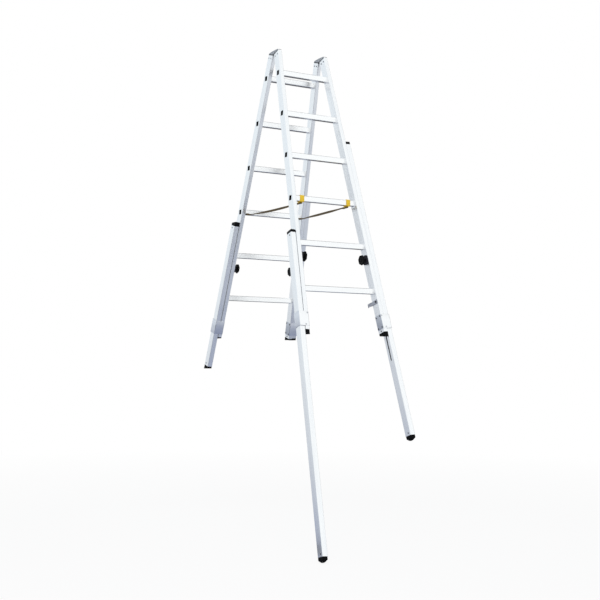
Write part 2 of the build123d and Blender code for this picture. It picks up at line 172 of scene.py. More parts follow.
def rolled_aluminium(name, axis, light, dark, shine):
    """Mill-finish aluminium with die lines along one axis and dull patches and scuffs from handling."""
    material, shader, place = finish(name)
    lines = lengthwise(place, axis, 0.012).noise(900.0, 2.0)
    bands = lengthwise(place, axis, 0.02).noise(140.0, 2.0)
    patches = place.noise(9.0, 4.0)
    scuffs = lengthwise(place, axis, 0.18).noise(210.0, 5.0, 0.7).range(0.62, 0.72)
    tone = lines * 0.3 + bands * 0.4 + patches * 0.3 - scuffs * 0.05
    feed(
        shader, metallic=1.0,
        colour=tone.range(0.36, 0.60).mix(dark, light),
        roughness=(patches * 0.6 + lines * 0.4 + scuffs * 0.3).range(0.3, 0.8, shine, shine + 0.16),
        normal=bump(lines, 0.10, 0.0002),
    )
    return material


tube_finish = {}
for corner in CORNERS:
    down = joints[corner + "_leg_slide"]["axis"]
    tube_finish[corner] = rolled_aluminium(corner + "_tube", down, STILE_LIGHT, STILE_DARK, STILE_SHINE)
    paint(corner + "_stile", tube_finish[corner])

# Rungs
# Each rung is a hollow aluminium box with a grooved tread, pushed through both stiles. A collar swaged up
# against the inner face of each stile holds it there. Painted shade darkens the bores inside the open ends.
RUNG_COUNT = 6
RUNG_PITCH = 0.280
FIRST_RUNG = 0.1625
RUNG_DEPTH = 0.030
RUNG_HEIGHT = 0.032
RUNG_LIGHT = (0.98, 0.981, 0.983)
RUNG_DARK = (0.93, 0.935, 0.945)
RUNG_SHINE = 0.18
COLLAR_PROUD = 0.0016
COLLAR_GRIP = 0.0001
COLLAR_LENGTH = 0.006
COLLAR_SUNK = 0.0015
COLLAR_EDGE = 0.0012
STILE_MID = 0.031
HALF_STILE = 0.0125
TOP_HALF_WIDTH = 0.160
HALF_ANGLE = math.radians(17.25)
TAPER = math.radians(3.1)
BORE_HALF_DEPTH = 0.0140
BORE_HALF_HEIGHT = 0.0146
BORE_PAINTED_SHADE = (0.05, 0.05, 0.055)
hinge = Vector(joints["fold"]["pos_m"])


def rung_centre(lean, drop):
    """The middle of a rung, by the way that its section leans and by its drop down the stile."""
    reach = STILE_MID * math.cos(HALF_ANGLE) + drop * math.sin(HALF_ANGLE)
    height = STILE_MID * math.sin(HALF_ANGLE) - drop * math.cos(HALF_ANGLE)
    return hinge + Vector((0, lean * reach, height))


def rung_aluminium(section, lean):
    """The rungs' metal, with painted shade darkening the inside of every rung."""
    name = section + "_rung_aluminium"
    material = rolled_aluminium(name, (1, 0, 0), RUNG_LIGHT, RUNG_DARK, RUNG_SHINE)
    shader = material.node_tree.nodes["Principled BSDF"]
    skin = Socket(material.node_tree, shader.inputs["Base Color"].links[0].from_socket)
    place = skin.node("ShaderNodeTexCoord", None, None, "Object")
    first = rung_centre(lean, FIRST_RUNG)
    step = rung_centre(lean, FIRST_RUNG + RUNG_PITCH) - first
    inside = 1.0
    for axis, middle, pitch, half in (
        ((0, 1, 0), first.y, step.y, BORE_HALF_DEPTH), ((0, 0, 1), first.z, step.z, BORE_HALF_HEIGHT),
    ):
        limits = {0: place.along(axis) - middle, 1: abs(pitch) / 2, 2: -abs(pitch) / 2}
        offset = place.node("ShaderNodeMath", {"operation": "WRAP"}, limits)
        inside = place.math("LESS_THAN", place.math("ABSOLUTE", offset), half) * inside
    # Painted shade: near black inside every rung's bore.
    feed(shader, colour=inside.mix(skin, BORE_PAINTED_SHADE))
    return material


def pick(test):
    """Select the faces of the piece in hand that pass a test, ready to be worked on."""
    bpy.ops.object.mode_set(mode="EDIT")
    bpy.ops.mesh.select_mode(type="FACE")
    bpy.ops.mesh.select_all(action="DESELECT")
    bpy.ops.object.mode_set(mode="OBJECT")
    for face in bpy.context.object.data.polygons:
        face.select = test(face)
    bpy.ops.object.mode_set(mode="EDIT")


def rounded(piece, radius, segments, angle=32):
    """Round off the sharp edges of a piece."""
    bpy.ops.object.select_all(action="DESELECT")
    piece.select_set(True)
    bpy.context.view_layer.objects.active = piece
    edge = piece.modifiers.new("rounded_edge", "BEVEL")
    edge.width, edge.segments = radius, segments
    edge.limit_method, edge.angle_limit = "ANGLE", math.radians(angle)
    bpy.ops.object.modifier_apply(modifier=edge.name)
    bpy.ops.object.shade_smooth_by_angle(angle=math.radians(35))


def set_out(name, master, seats, body, material):
    """Copies of one small piece on their seats, joined into a piece that rides on a body, if one is given."""
    bpy.ops.object.select_all(action="DESELECT")
    for seat in seats:
        copy = bpy.data.objects.new(name, master.data.copy())
        bpy.context.scene.collection.objects.link(copy)
        copy.data.transform(seat)
        if seat.determinant() < 0:
            copy.data.flip_normals()
        copy.select_set(True)
        bpy.context.view_layer.objects.active = copy
    if len(seats) > 1:
        bpy.ops.object.join()
    joined = bpy.context.view_layer.objects.active
    joined.name = joined.data.name = name
    joined.data.materials.clear()
    joined.data.materials.append(material)
    if body:
        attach(joined, body)
    return joined


bpy.ops.object.select_all(action="DESELECT")
bpy.ops.mesh.primitive_cube_add(size=1.0)
collar = bpy.context.object
bpy.ops.object.mode_set(mode="EDIT")
bpy.ops.transform.resize(
    value=(COLLAR_LENGTH, RUNG_DEPTH + 2 * COLLAR_PROUD, RUNG_HEIGHT + 2 * COLLAR_PROUD)
)
pick(lambda face: abs(face.normal.x) > 0.9)
bpy.ops.mesh.inset(thickness=COLLAR_PROUD - COLLAR_GRIP, use_individual=True)
bpy.ops.mesh.bridge_edge_loops()
bpy.ops.object.mode_set(mode="OBJECT")
rounded(collar, COLLAR_EDGE, 3)
for section, lean in (("front", -1), ("rear", 1)):
    seats = []
    rung_finish = rung_aluminium(section, lean)
    for number in range(RUNG_COUNT):
        paint(f"{section}_rung_{number + 1}", rung_finish)
        drop = FIRST_RUNG + number * RUNG_PITCH
        half = TOP_HALF_WIDTH + drop * math.tan(TAPER) - HALF_STILE - COLLAR_LENGTH / 2 + COLLAR_SUNK
        for side in (-1, 1):
            seats.append(Matrix.Translation(rung_centre(lean, drop) + Vector((side * half, 0, 0))))
    set_out(section + "_rung_collars", collar, seats, section + "_section", rung_finish)
bpy.data.objects.remove(collar)

# Hinge heads
# Die-cast aluminium heads plugged into the stile tops, with a slightly pebbled grey skin and rounded edges.
# The edge that lies flush with the stile is painted as bright as the tubes, a painted highlight.
HEAD_EDGE_RADIUS = 0.0009
HEAD_LIGHT = (0.43, 0.44, 0.47)
HEAD_DARK = (0.32, 0.33, 0.36)
FLUSH_HIGHLIGHT_FROM = 0.0575
FLUSH_HIGHLIGHT_TO = 0.0590


def merged_copy(node, name):
    """A copy of a solid as one closed mesh with whole faces."""
    bpy.ops.object.select_all(action="DESELECT")
    piece = bpy.data.objects.new(name, nodes[node].data.copy())
    bpy.context.scene.collection.objects.link(piece)
    piece.select_set(True)
    bpy.context.view_layer.objects.active = piece
    bpy.ops.mesh.customdata_custom_splitnormals_clear()
    bpy.ops.object.mode_set(mode="EDIT")
    bpy.ops.mesh.select_all(action="SELECT")
    bpy.ops.mesh.remove_doubles(threshold=0.00001)
    bpy.ops.mesh.dissolve_limited(angle_limit=math.radians(1))
    bpy.ops.object.mode_set(mode="OBJECT")
    return piece


def from_hinge_plane(place, lean):
    """The distance of a point from the plane between the sections, towards a section's outer face."""
    out = Vector((0, lean * math.cos(HALF_ANGLE), math.sin(HALF_ANGLE)))
    return place.along(out) - hinge.dot(out)


def stand_for(piece, node, body, material):
    """Show a piece in place of a solid, on the same body."""
    piece.data.materials.clear()
    piece.data.materials.append(material)
    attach(piece, body)
    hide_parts(node)


for section, lean in (("front", -1), ("rear", 1)):
    cast_head, shader, place = finish(section + "_cast_head")
    grain = place.noise(650.0, 3.0)
    cloud = place.noise(40.0, 3.0)
    # Painted highlight: the face flush with the stile's outer face takes the tubes' bright colour.
    flush_highlight = from_hinge_plane(place, lean).range(FLUSH_HIGHLIGHT_FROM, FLUSH_HIGHLIGHT_TO)
    skin = cloud.range(0.35, 0.65).mix(HEAD_DARK, HEAD_LIGHT)
    feed(
        shader, metallic=1.0,
        colour=flush_highlight.mix(skin, STILE_LIGHT),
        roughness=grain.range(0.3, 0.7, 0.40, 0.54) - flush_highlight * 0.14,
        normal=bump(grain, 0.25, 0.0006),
    )
    for side in ("left", "right"):
        node = f"{section}_{side}_hinge_head"
        head = merged_copy(node, f"{section}_{side}_cast_head")
        rounded(head, HEAD_EDGE_RADIUS, 3)
        stand_for(head, node, section + "_section", cast_head)

# Top seals
# Collars of moulded black plastic that close the tubes round the hinge heads' tangs. They are clamped between
# the casting and the sawn tube end.
BLACK_PLASTIC = (0.0035, 0.0035, 0.004)


def black_moulding(name, colour, roughness, grain_scale, grain_depth):
    """Black plastic or rubber with a fine moulded grain and paler scuffs."""
    material, shader, place = finish(name)
    grain = place.noise(grain_scale, 2.0)
    scuff = lengthwise(place, (0.3, 0.2, 1.0), 0.2).noise(60.0, 4.0)
    pale = tuple(channel * 1.9 + 0.002 for channel in colour)
    feed(
        shader, metallic=0.0, specular=0.09,
        colour=scuff.range(0.5, 0.78).mix(colour, pale),
        roughness=(scuff * 0.5 + grain * 0.5).range(0.3, 0.7, roughness, roughness + 0.2),
        normal=bump(grain, 0.3, grain_depth),
    )
    return material


black_plastic = black_moulding("black_plastic", BLACK_PLASTIC, 0.42, 900.0, 0.0004)
for section in ("front", "rear"):
    paint(section + "_top_seals", black_plastic)

# Hinge pins and clamp bolts
# Turned and headed steel with a bright zinc plating that is a little cloudy. The pins run through the eyes of
# the heads, and the bolts from the slot of a leg through the stile to the knob.
ZINC_LIGHT = (0.72, 0.73, 0.76)
ZINC_DARK = (0.56, 0.57, 0.60)
zinc_plating, shader, place = finish("zinc_plating")
bloom = place.noise(120.0, 4.0)
feed(
    shader, metallic=1.0,
    colour=bloom.range(0.35, 0.7).mix(ZINC_LIGHT, ZINC_DARK),
    roughness=bloom.range(0.3, 0.7, 0.28, 0.46),
    normal=bump(place.noise(1500.0, 2.0), 0.1, 0.0002),
)
for node in ("hinge_pins", "front_clamp_bolts", "rear_clamp_bolts"):
    paint(node, zinc_plating)

# Guide sleeves
# Sheet metal folded round stile and leg and riveted to the stile below the clamp. The flank on the stile's
# inner face is painted darker as painted shade, the rest is nearly as bright as the tubes, and the front
# strip carries a painted highlight as bright as the tubes.
SLEEVE_LIGHT = (0.79, 0.81, 0.86)
SLEEVE_DARK = (0.67, 0.69, 0.75)
SLEEVE_FLANK_SHADE = (0.71, 0.72, 0.74)
SLEEVE_SHINE = 0.30
SLEEVE_EDGE = 0.0005
FLANK_FROM = -HALF_STILE - 0.0002
FLANK_TO = -HALF_STILE + 0.0010
FRONT_HIGHLIGHT_FROM = 0.0600
FRONT_HIGHLIGHT_TO = 0.0612
BLOCK_FACE = -0.0195


def stile_middle(corner):
    """The outward direction at a stile, and how far along it the stile's middle plane lies."""
    side = Vector(joints[corner + "_knob_turn"]["axis"])
    return side, Vector(joints[corner + "_knob_turn"]["pos_m"]).dot(side) - BLOCK_FACE


for corner in CORNERS:
    section = corner.split("_")[0]
    folded = Vector(joints[corner + "_leg_slide"]["axis"]).cross((1, 0, 0))
    sheet = rolled_aluminium(corner + "_sleeve_sheet", folded, SLEEVE_LIGHT, SLEEVE_DARK, SLEEVE_SHINE)
    shader = sheet.node_tree.nodes["Principled BSDF"]
    skin = Socket(sheet.node_tree, shader.inputs["Base Color"].links[0].from_socket)
    place = skin.node("ShaderNodeTexCoord", None, None, "Object")
    side, middle = stile_middle(corner)
    # Painted shade darkens the flank on the stile's inner face; a painted highlight brightens the front
    # strip.
    outward = (place.along(side) - middle).range(FLANK_FROM, FLANK_TO)
    sockets = {0: skin, 1: SLEEVE_FLANK_SHADE}
    dull = skin.node("ShaderNodeVectorMath", {"operation": "MULTIPLY"}, sockets, "Vector")
    front_highlight = from_hinge_plane(place, -1 if section == "front" else 1).range(FRONT_HIGHLIGHT_FROM, FRONT_HIGHLIGHT_TO)
    feed(shader, colour=front_highlight.mix(outward.mix(dull, skin), STILE_LIGHT))
    sleeve = merged_copy(corner + "_guide_sleeve", corner + "_folded_sleeve")
    rounded(sleeve, SLEEVE_EDGE, 2)
    stand_for(sleeve, corner + "_guide_sleeve", section + "_section", sheet)

# Rivets of heads and sleeves
# Blind rivets of aluminium or steel with a stub of the pin left in the middle: two through each side of the
# stile's top, low on the outside where the leg slides past, and domed ones in every guide sleeve and at every
# stile foot. Those on a sleeve's flank are painted dark as painted shade, those on its front painted bright
# as a painted highlight.
CLAMP_DROP = 1.367
RIVET_RADIUS = 0.0046
RIVET_HEAD = 0.0018
FLAT_RIVET_HEAD = 0.0006
RIVET_DOME = ((0.18, 0.32), (0.27, 0.22), (0.30, 0.08))
PIN_RADIUS = 0.0017
HEAD_RIVET_DROP = 0.039
HEAD_RIVETS_ACROSS = (0.019, 0.046)
SLEEVE_TOP = 1.712
SLEEVE_END = 1.798
SLEEVE_SIDE = 0.0140
SLEEVE_FRONT = 0.0615
SIDE_RIVETS_ACROSS = (0.011, 0.051)
SIDE_RIVET_DROPS = (SLEEVE_TOP + 0.010, SLEEVE_END - 0.010)
FRONT_RIVETS = ((-0.007, SLEEVE_TOP + 0.009), (0.008, SLEEVE_END - 0.009))
FOOT_RIVET_DROP = 1.808
DULL_RIVET = ((0.20, 0.21, 0.23), (0.32, 0.33, 0.35))
RIVET_HIGHLIGHT = ((0.55, 0.56, 0.59), (0.72, 0.73, 0.76))
PIN_DARK = (0.05, 0.05, 0.055)
PIN_LIGHT = (0.11, 0.105, 0.10)


def stile_axes(corner):
    """From distances outward, away from the hinge plane and down the stile to the ladder's frame."""
    side = Vector(joints[corner + "_knob_turn"]["axis"])
    down = Vector(joints[corner + "_leg_slide"]["axis"])
    out = side.cross(down)
    if (out.y > 0) == corner.startswith("front"):
        out.negate()
    knob = Vector(joints[corner + "_knob_turn"]["pos_m"])
    start = knob - side * BLOCK_FACE - out * STILE_MID - down * CLAMP_DROP
    return Matrix.Translation(start) @ Matrix((side, out, down)).transposed().to_4x4()


def seat_on(axes, spot, facing):
    """A seat on a face: its place and the direction that it faces, by the stile's own axes."""
    normal = (axes.to_3x3() @ Vector(facing)).normalized()
    return Matrix.Translation(axes @ Vector(spot)) @ normal.to_track_quat("Z", "Y").to_matrix().to_4x4()


def domed_rivet(radius, head):
    """A rivet head: a short round blank with its top drawn up into a dome."""
    bpy.ops.object.select_all(action="DESELECT")
    bpy.ops.mesh.primitive_cylinder_add(vertices=20, radius=radius, depth=head, location=(0, 0, 0))
    blank = bpy.context.object
    bpy.ops.object.mode_set(mode="EDIT")
    for inset, lift in RIVET_DOME:
        pick(lambda face: face.normal.z > 0.99)
        bpy.ops.mesh.inset(thickness=inset * radius)
        bpy.ops.transform.translate(value=(0, 0, lift * head))
    bpy.ops.object.mode_set(mode="OBJECT")
    bpy.ops.object.shade_smooth_by_angle(angle=math.radians(50))
    return blank


def rivet_pin(radius, head):
    """The broken-off stub of a rivet's pin, a little above the dome, with a ragged hollow end."""
    bpy.ops.object.select_all(action="DESELECT")
    bpy.ops.mesh.primitive_cylinder_add(vertices=12, radius=radius, depth=0.4 * head, location=(0, 0, head))
    stub = bpy.context.object
    pick(lambda face: face.normal.z > 0.99)
    bpy.ops.mesh.inset(thickness=0.3 * radius)
    bpy.ops.mesh.inset(thickness=0.3 * radius, depth=-0.2 * head)
    bpy.ops.object.mode_set(mode="OBJECT")
    bpy.ops.object.shade_smooth_by_angle(angle=math.radians(40))
    return stub


def rivet_aluminium(name, dark, light):
    """Aluminium that is dull in spots."""
    material, shader, place = finish(name)
    dull = place.noise(300.0, 3.0)
    feed(
        shader, metallic=1.0,
        colour=dull.range(0.3, 0.7).mix(dark, light),
        roughness=dull.range(0.3, 0.7, 0.36, 0.52),
        normal=bump(place.noise(1800.0, 2.0), 0.1, 0.0002),
    )
    return material


rivet_metal = rivet_aluminium("dull_rivet", *DULL_RIVET)
bright_rivet = rivet_aluminium("bright_rivet", *RIVET_HIGHLIGHT)
pin_steel_and_shade, shader, place = finish("steel_pins_and_shaded_rivets")
tarnish = place.noise(900.0, 3.0)
feed(
    shader, metallic=1.0,
    colour=tarnish.range(0.3, 0.7).mix(PIN_DARK, PIN_LIGHT),
    roughness=tarnish.range(0.3, 0.7, 0.45, 0.65),
    normal=bump(tarnish, 0.2, 0.0003),
)
rivet = domed_rivet(RIVET_RADIUS, RIVET_HEAD)
pin = rivet_pin(PIN_RADIUS, RIVET_HEAD)
flat_rivet = domed_rivet(RIVET_RADIUS, FLAT_RIVET_HEAD)
flat_pin = rivet_pin(PIN_RADIUS, FLAT_RIVET_HEAD)
for section in ("front", "rear"):
    seats, flat_seats, side_seats, front_seats = [], [], [], []
    for corner in (section + "_left", section + "_right"):
        axes = stile_axes(corner)
        for across in HEAD_RIVETS_ACROSS:
            seats.append(seat_on(axes, (-HALF_STILE, across, HEAD_RIVET_DROP), (-1, 0, 0)))
            flat_seats.append(seat_on(axes, (HALF_STILE, across, HEAD_RIVET_DROP), (1, 0, 0)))
        for across in SIDE_RIVETS_ACROSS:
            for drop in SIDE_RIVET_DROPS:
                side_seats.append(seat_on(axes, (-SLEEVE_SIDE, across, drop), (-1, 0, 0)))
        side_seats.append(seat_on(axes, (-HALF_STILE, STILE_MID, FOOT_RIVET_DROP), (-1, 0, 0)))
        for along, drop in FRONT_RIVETS:
            front_seats.append(seat_on(axes, (along, SLEEVE_FRONT, drop), (0, 1, 0)))
    body = section + "_section"
    set_out(section + "_head_rivets", rivet, seats, body, rivet_metal)
    set_out(section + "_flat_rivets", flat_rivet, flat_seats, body, rivet_metal)
    set_out(section + "_flat_rivet_pins", flat_pin, flat_seats, body, pin_steel_and_shade)
    # Painted shade: the flank rivets take the dark pin steel. Painted highlight: the front rivets are bright.
    set_out(section + "_sleeve_side_rivets", rivet, side_seats, body, pin_steel_and_shade)
    set_out(section + "_sleeve_side_pins", pin, side_seats, body, rivet_metal)
    set_out(section + "_sleeve_front_rivets", rivet, front_seats, body, bright_rivet)
    set_out(section + "_rivet_pins", pin, seats + front_seats, body, pin_steel_and_shade)
bpy.data.objects.remove(rivet)
bpy.data.objects.remove(pin)

# Stile feet
# Matt black rubber wedges, moulded in one piece with a plug that is pushed into the stile's end. They are
# level underneath, with a tread of small pockets.
TREAD_STEP = 0.010
TREAD_DEPTH = 0.0015
TREAD_RIM = 0.0016
SOLE_PLAY = 0.0005
FOOT_EDGE = 0.0009
BLACK_RUBBER = (0.0032, 0.0032, 0.0037)
black_rubber = black_moulding("black_rubber", BLACK_RUBBER, 0.60, 500.0, 0.0008)


def trodden(piece, facing, across):
    """Press a row of tread pockets into the sole of a foot: the way it faces, and the way the row runs."""
    facing, across = Vector(facing), Vector(across)
    corners = [vertex.co.copy() for vertex in piece.data.vertices]
    sole = max(spot.dot(facing) for spot in corners)
    under = [spot.dot(across) for spot in corners if spot.dot(facing) > sole - SOLE_PLAY]
    first, last = min(under), max(under)
    strips = round((last - first) / TREAD_STEP)
    for number in range(1, strips):
        bpy.ops.object.mode_set(mode="EDIT")
        bpy.ops.mesh.select_all(action="SELECT")
        cut = first + (last - first) * number / strips
        bpy.ops.mesh.bisect(plane_co=across * cut, plane_no=across)
    pick(lambda face: face.normal.dot(facing) > 0.98 and face.center.dot(facing) > sole - SOLE_PLAY)
    bpy.ops.mesh.inset(thickness=TREAD_RIM, depth=-TREAD_DEPTH, use_individual=True)
    bpy.ops.object.mode_set(mode="OBJECT")


for corner in CORNERS:
    foot = merged_copy(corner + "_stile_foot", corner + "_rubber_wedge")
    trodden(foot, (0, 0, -1), (0, 1, 0))
    rounded(foot, FOOT_EDGE, 3)
    stand_for(foot, corner + "_stile_foot", corner.split("_")[0] + "_section", black_rubber)

# Sliding legs
# Aluminium tubes of the same make as the stiles, slotted on the side that faces the stile. That side runs
# close along the stile.
LEG_INNER = 0.0145
LEG_WALL_DEPTH = 0.0033
LEG_WIDENED = 0.0011
for corner in CORNERS:
    tube = merged_copy(corner + "_leg", corner + "_slotted_tube")
    side, middle = stile_middle(corner)
    bpy.ops.object.mode_set(mode="EDIT")
    bpy.ops.mesh.select_mode(type="VERT")
    bpy.ops.mesh.select_all(action="DESELECT")
    bpy.ops.object.mode_set(mode="OBJECT")
    for vertex in tube.data.vertices:
        vertex.select = vertex.co.dot(side) - middle < LEG_INNER + LEG_WALL_DEPTH
    bpy.ops.object.mode_set(mode="EDIT")
    bpy.ops.transform.translate(value=side * -LEG_WIDENED)
    bpy.ops.object.mode_set(mode="OBJECT")
    bpy.ops.object.shade_smooth_by_angle(angle=math.radians(30))
    stand_for(tube, corner + "_leg", corner + "_leg_unit", tube_finish[corner])

# Leg caps and leg feet
# Black plugs close both ends of each leg, flush with the tube. The front legs' rubber soles are domed and
# grooved across, the rear legs' are level with tread pockets. Dark low rivets in the tube's sides hold them.
LEG_OUTER = 0.0445
LEG_END = 1.816
LEG_LENGTHS = {"front": 1.811, "rear": 0.922}
LEG_DRAWN_OUT = {"front_left": 1.2295, "front_right": 0.6105, "rear_left": 0.202, "rear_right": 0.0}
LEG_RIVET_INSET = 0.014
LEG_RIVET_ACROSS = 0.038
CAP_EDGE = 0.0008
SOLE_DOME = 0.0110
SOLE_CUTS = 8
ROUND_ACROSS = 3.2
ROUND_BESIDE = 2.8
GROOVE_STEP = 0.0080
GROOVE_WIDTH = 0.0036
GROOVE_DEPTH = 0.0018


def domed_sole(piece, facing, across):
    """Draw the sole of a foot, which faces one way, down into a dome with grooves across it."""
    facing, across = Vector(facing), Vector(across)
    beside = facing.cross(across)
    flat = max(vertex.co.dot(facing) for vertex in piece.data.vertices) - SOLE_PLAY
    under = [vertex.co.copy() for vertex in piece.data.vertices if vertex.co.dot(facing) > flat]
    spans = []
    for direction in (across, beside):
        reach = [spot.dot(direction) for spot in under]
        spans.append(((max(reach) + min(reach)) / 2, (max(reach) - min(reach)) / 2))
    (middle, half), (beside_middle, beside_half) = spans
    count = int(half / GROOVE_STEP)
    grooves = [middle + number * GROOVE_STEP for number in range(-count, count + 1)]
    cuts = [(across, groove + shift * GROOVE_WIDTH / 2) for groove in grooves for shift in (-1, 0, 1)]
    for number in range(1, SOLE_CUTS):
        cuts.append((beside, beside_middle + beside_half * (2 * number / SOLE_CUTS - 1)))
    bpy.ops.object.mode_set(mode="EDIT")
    for direction, place in cuts:
        bpy.ops.mesh.select_all(action="SELECT")
        bpy.ops.mesh.bisect(plane_co=direction * place, plane_no=direction)
    bpy.ops.object.mode_set(mode="OBJECT")
    for vertex in piece.data.vertices:
        if vertex.co.dot(facing) > flat:
            along = vertex.co.dot(across)
            swell = 1 - abs((vertex.co.dot(beside) - beside_middle) / beside_half) ** ROUND_BESIDE
            drop = SOLE_DOME * swell * (1 - abs((along - middle) / half) ** ROUND_ACROSS)
            if min(abs(along - groove) for groove in grooves) < GROOVE_WIDTH / 4:
                drop -= GROOVE_DEPTH * swell
            vertex.co += facing * drop


for corner in CORNERS:
    unit = corner + "_leg_unit"
    axes = stile_axes(corner)
    out, down = axes.to_3x3().col[1], axes.to_3x3().col[2]
    cap = merged_copy(corner + "_leg_cap", corner + "_moulded_cap")
    rounded(cap, CAP_EDGE, 3)
    stand_for(cap, corner + "_leg_cap", unit, black_plastic)
    boot = merged_copy(corner + "_leg_foot", corner + "_rubber_boot")
    if corner.startswith("front"):
        domed_sole(boot, down, out)
    else:
        trodden(boot, (0, 0, -1), (0, 1, 0))
    rounded(boot, FOOT_EDGE, 3)
    stand_for(boot, corner + "_leg_foot", unit, black_rubber)
    leg_end = LEG_END + LEG_DRAWN_OUT[corner]
    leg_top = leg_end - LEG_LENGTHS[corner.split("_")[0]]
    seats = []
    for drop in (leg_top + LEG_RIVET_INSET, leg_end - LEG_RIVET_INSET):
        seats.append(seat_on(axes, (LEG_OUTER, LEG_RIVET_ACROSS, drop), (1, 0, 0)))
        seats.append(seat_on(axes, (LEG_INNER - LEG_WIDENED, LEG_RIVET_ACROSS, drop), (-1, 0, 0)))
    set_out(corner + "_leg_rivets", flat_rivet, seats, unit, pin_steel_and_shade)
    set_out(corner + "_leg_rivet_pins", flat_pin, seats, unit, rivet_metal)
bpy.data.objects.remove(flat_rivet)
bpy.data.objects.remove(flat_pin)

# Clamp blocks
# Pads of moulded dark grey nylon with round corners, which the knobs bear on. The bolts hold them against the
# inner faces of the stiles.
BLOCK_THICK = 0.007
BLOCK_DEPTH = 0.052
BLOCK_LENGTH = 0.056
BLOCK_CORNER = 0.020
BLOCK_EDGE = 0.0015
GREY_NYLON = (0.026, 0.025, 0.033)
grey_nylon = black_moulding("dark_grey_nylon", GREY_NYLON, 0.45, 700.0, 0.0004)
bpy.ops.object.select_all(action="DESELECT")
bpy.ops.mesh.primitive_cube_add(size=1.0)
pad = bpy.context.object
bpy.ops.object.mode_set(mode="EDIT")
bpy.ops.transform.resize(value=(BLOCK_THICK, BLOCK_DEPTH, BLOCK_LENGTH))
bpy.ops.mesh.select_mode(type="EDGE")
bpy.ops.mesh.select_all(action="DESELECT")
bpy.ops.object.mode_set(mode="OBJECT")
for edge in pad.data.edges:
    ends = [pad.data.vertices[index].co for index in edge.vertices]
    edge.select = abs(ends[0].x - ends[1].x) > BLOCK_THICK / 2
bpy.ops.object.mode_set(mode="EDIT")
bpy.ops.mesh.bevel(offset=BLOCK_CORNER, segments=8, affect="EDGES")
bpy.ops.object.mode_set(mode="OBJECT")
rounded(pad, BLOCK_EDGE, 3)
for corner in CORNERS:
    middle = (BLOCK_FACE + BLOCK_THICK / 2, STILE_MID, CLAMP_DROP)
    bearing = set_out(
        corner + "_moulded_pad", pad, [stile_axes(corner) @ Matrix.Translation(middle)],
        corner.split("_")[0] + "_section", grey_nylon,
    )
    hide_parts(corner + "_clamp_block")
bpy.data.objects.remove(pad)

# Clamp knobs
# Lobed hand knobs in black plastic, moulded over a nut that runs on the clamp bolt: a flat head with a dished
# end on a narrower hub. Each ring is a step along the axis and a radius, from the hub's foot to the dish.
# Each hollow is a limit of the lobes' wave and a share that the rim shrinks by below it.
KNOB_RADIUS = 0.0300
KNOB_GRIP = 0.0266
KNOB_HEAD_THICK = 0.011
KNOB_HUB_RADIUS = 0.012
KNOB_PLAY = 0.0004
KNOB_LOBES = 7
KNOB_RINGS = (
    (KNOB_HEAD_THICK - KNOB_GRIP, KNOB_HUB_RADIUS), (-0.0008, 0.0272), (-0.0022, KNOB_RADIUS),
    (0.0060 - KNOB_HEAD_THICK, KNOB_RADIUS), (-0.0020, 0.0288), (-0.0010, 0.0260), (0.0, 0.0225),
    (0.0024, 0.0205), (0.0, 0.0100), (-0.0016, 0.0088),
)
KNOB_HOLLOWS = ((0.55, 0.985), (0.05, 0.978), (-0.45, 0.976), (-0.8, 0.985))
KNOB_EDGE = 0.0006
bpy.ops.object.select_all(action="DESELECT")
bpy.ops.mesh.primitive_circle_add(
    vertices=12 * KNOB_LOBES, radius=KNOB_HUB_RADIUS, fill_type="NGON", rotation=(0, math.pi / 2, 0),
    location=(KNOB_GRIP - KNOB_HEAD_THICK / 2, 0, 0),
)
knob = bpy.context.object
bpy.ops.object.transform_apply(location=True, rotation=True, scale=True)
bpy.ops.object.mode_set(mode="EDIT")
bpy.ops.mesh.select_all(action="SELECT")
reach = KNOB_HUB_RADIUS
for step, radius in KNOB_RINGS:
    bpy.ops.mesh.extrude_region_move(TRANSFORM_OT_translate={"value": (step, 0, 0)})
    bpy.ops.transform.resize(value=(1, radius / reach, radius / reach), center_override=(0, 0, 0))
    reach = radius
bpy.ops.mesh.select_all(action="SELECT")
bpy.ops.mesh.normals_make_consistent(inside=False)
bpy.ops.object.mode_set(mode="OBJECT")
for limit, shrink in KNOB_HOLLOWS:
    bpy.ops.object.mode_set(mode="EDIT")
    bpy.ops.mesh.select_mode(type="VERT")
    bpy.ops.mesh.select_all(action="DESELECT")
    bpy.ops.object.mode_set(mode="OBJECT")
    for vertex in knob.data.vertices:
        around = math.atan2(vertex.co.z, vertex.co.y)
        outer = math.hypot(vertex.co.y, vertex.co.z) > 2 * KNOB_HUB_RADIUS
        vertex.select = outer and math.cos(KNOB_LOBES * around) < limit
    bpy.ops.object.mode_set(mode="EDIT")
    bpy.ops.transform.resize(value=(1, shrink, shrink), center_override=(0, 0, 0))
    bpy.ops.object.mode_set(mode="OBJECT")
rounded(knob, KNOB_EDGE, 2, 38)
for corner in CORNERS:
    axes = stile_axes(corner)
    middle = (BLOCK_FACE - KNOB_PLAY - KNOB_GRIP + KNOB_HEAD_THICK / 2, STILE_MID, CLAMP_DROP)
    grip = set_out(
        corner + "_hand_knob", knob, [axes @ Matrix.Translation(middle)], corner + "_knob_unit",
        black_plastic,
    )
    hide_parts(corner + "_clamp_knob")
bpy.data.objects.remove(knob)

# Carrying catch
# A lever pressed from steel sheet, deburred and galvanised to a dull grey. It swings on a headed rivet in the
# inner face of the front right stile.
GALVANISED_LIGHT = (0.50, 0.51, 0.56)
GALVANISED_DARK = (0.34, 0.35, 0.40)
CATCH_EDGE = 0.0005
galvanised, shader, place = finish("galvanised_steel")
spangle = place.noise(260.0, 3.0)
feed(
    shader, metallic=1.0,
    colour=spangle.range(0.35, 0.65).mix(GALVANISED_DARK, GALVANISED_LIGHT),
    roughness=spangle.range(0.3, 0.7, 0.34, 0.50),
    normal=bump(place.noise(1200.0, 2.0), 0.12, 0.0002),
)
catch = merged_copy("carrying_catch", "pressed_catch")
rounded(catch, CATCH_EDGE, 2)
stand_for(catch, "carrying_catch", "catch_unit", galvanised)
paint("catch_pivot", pin_steel_and_shade)

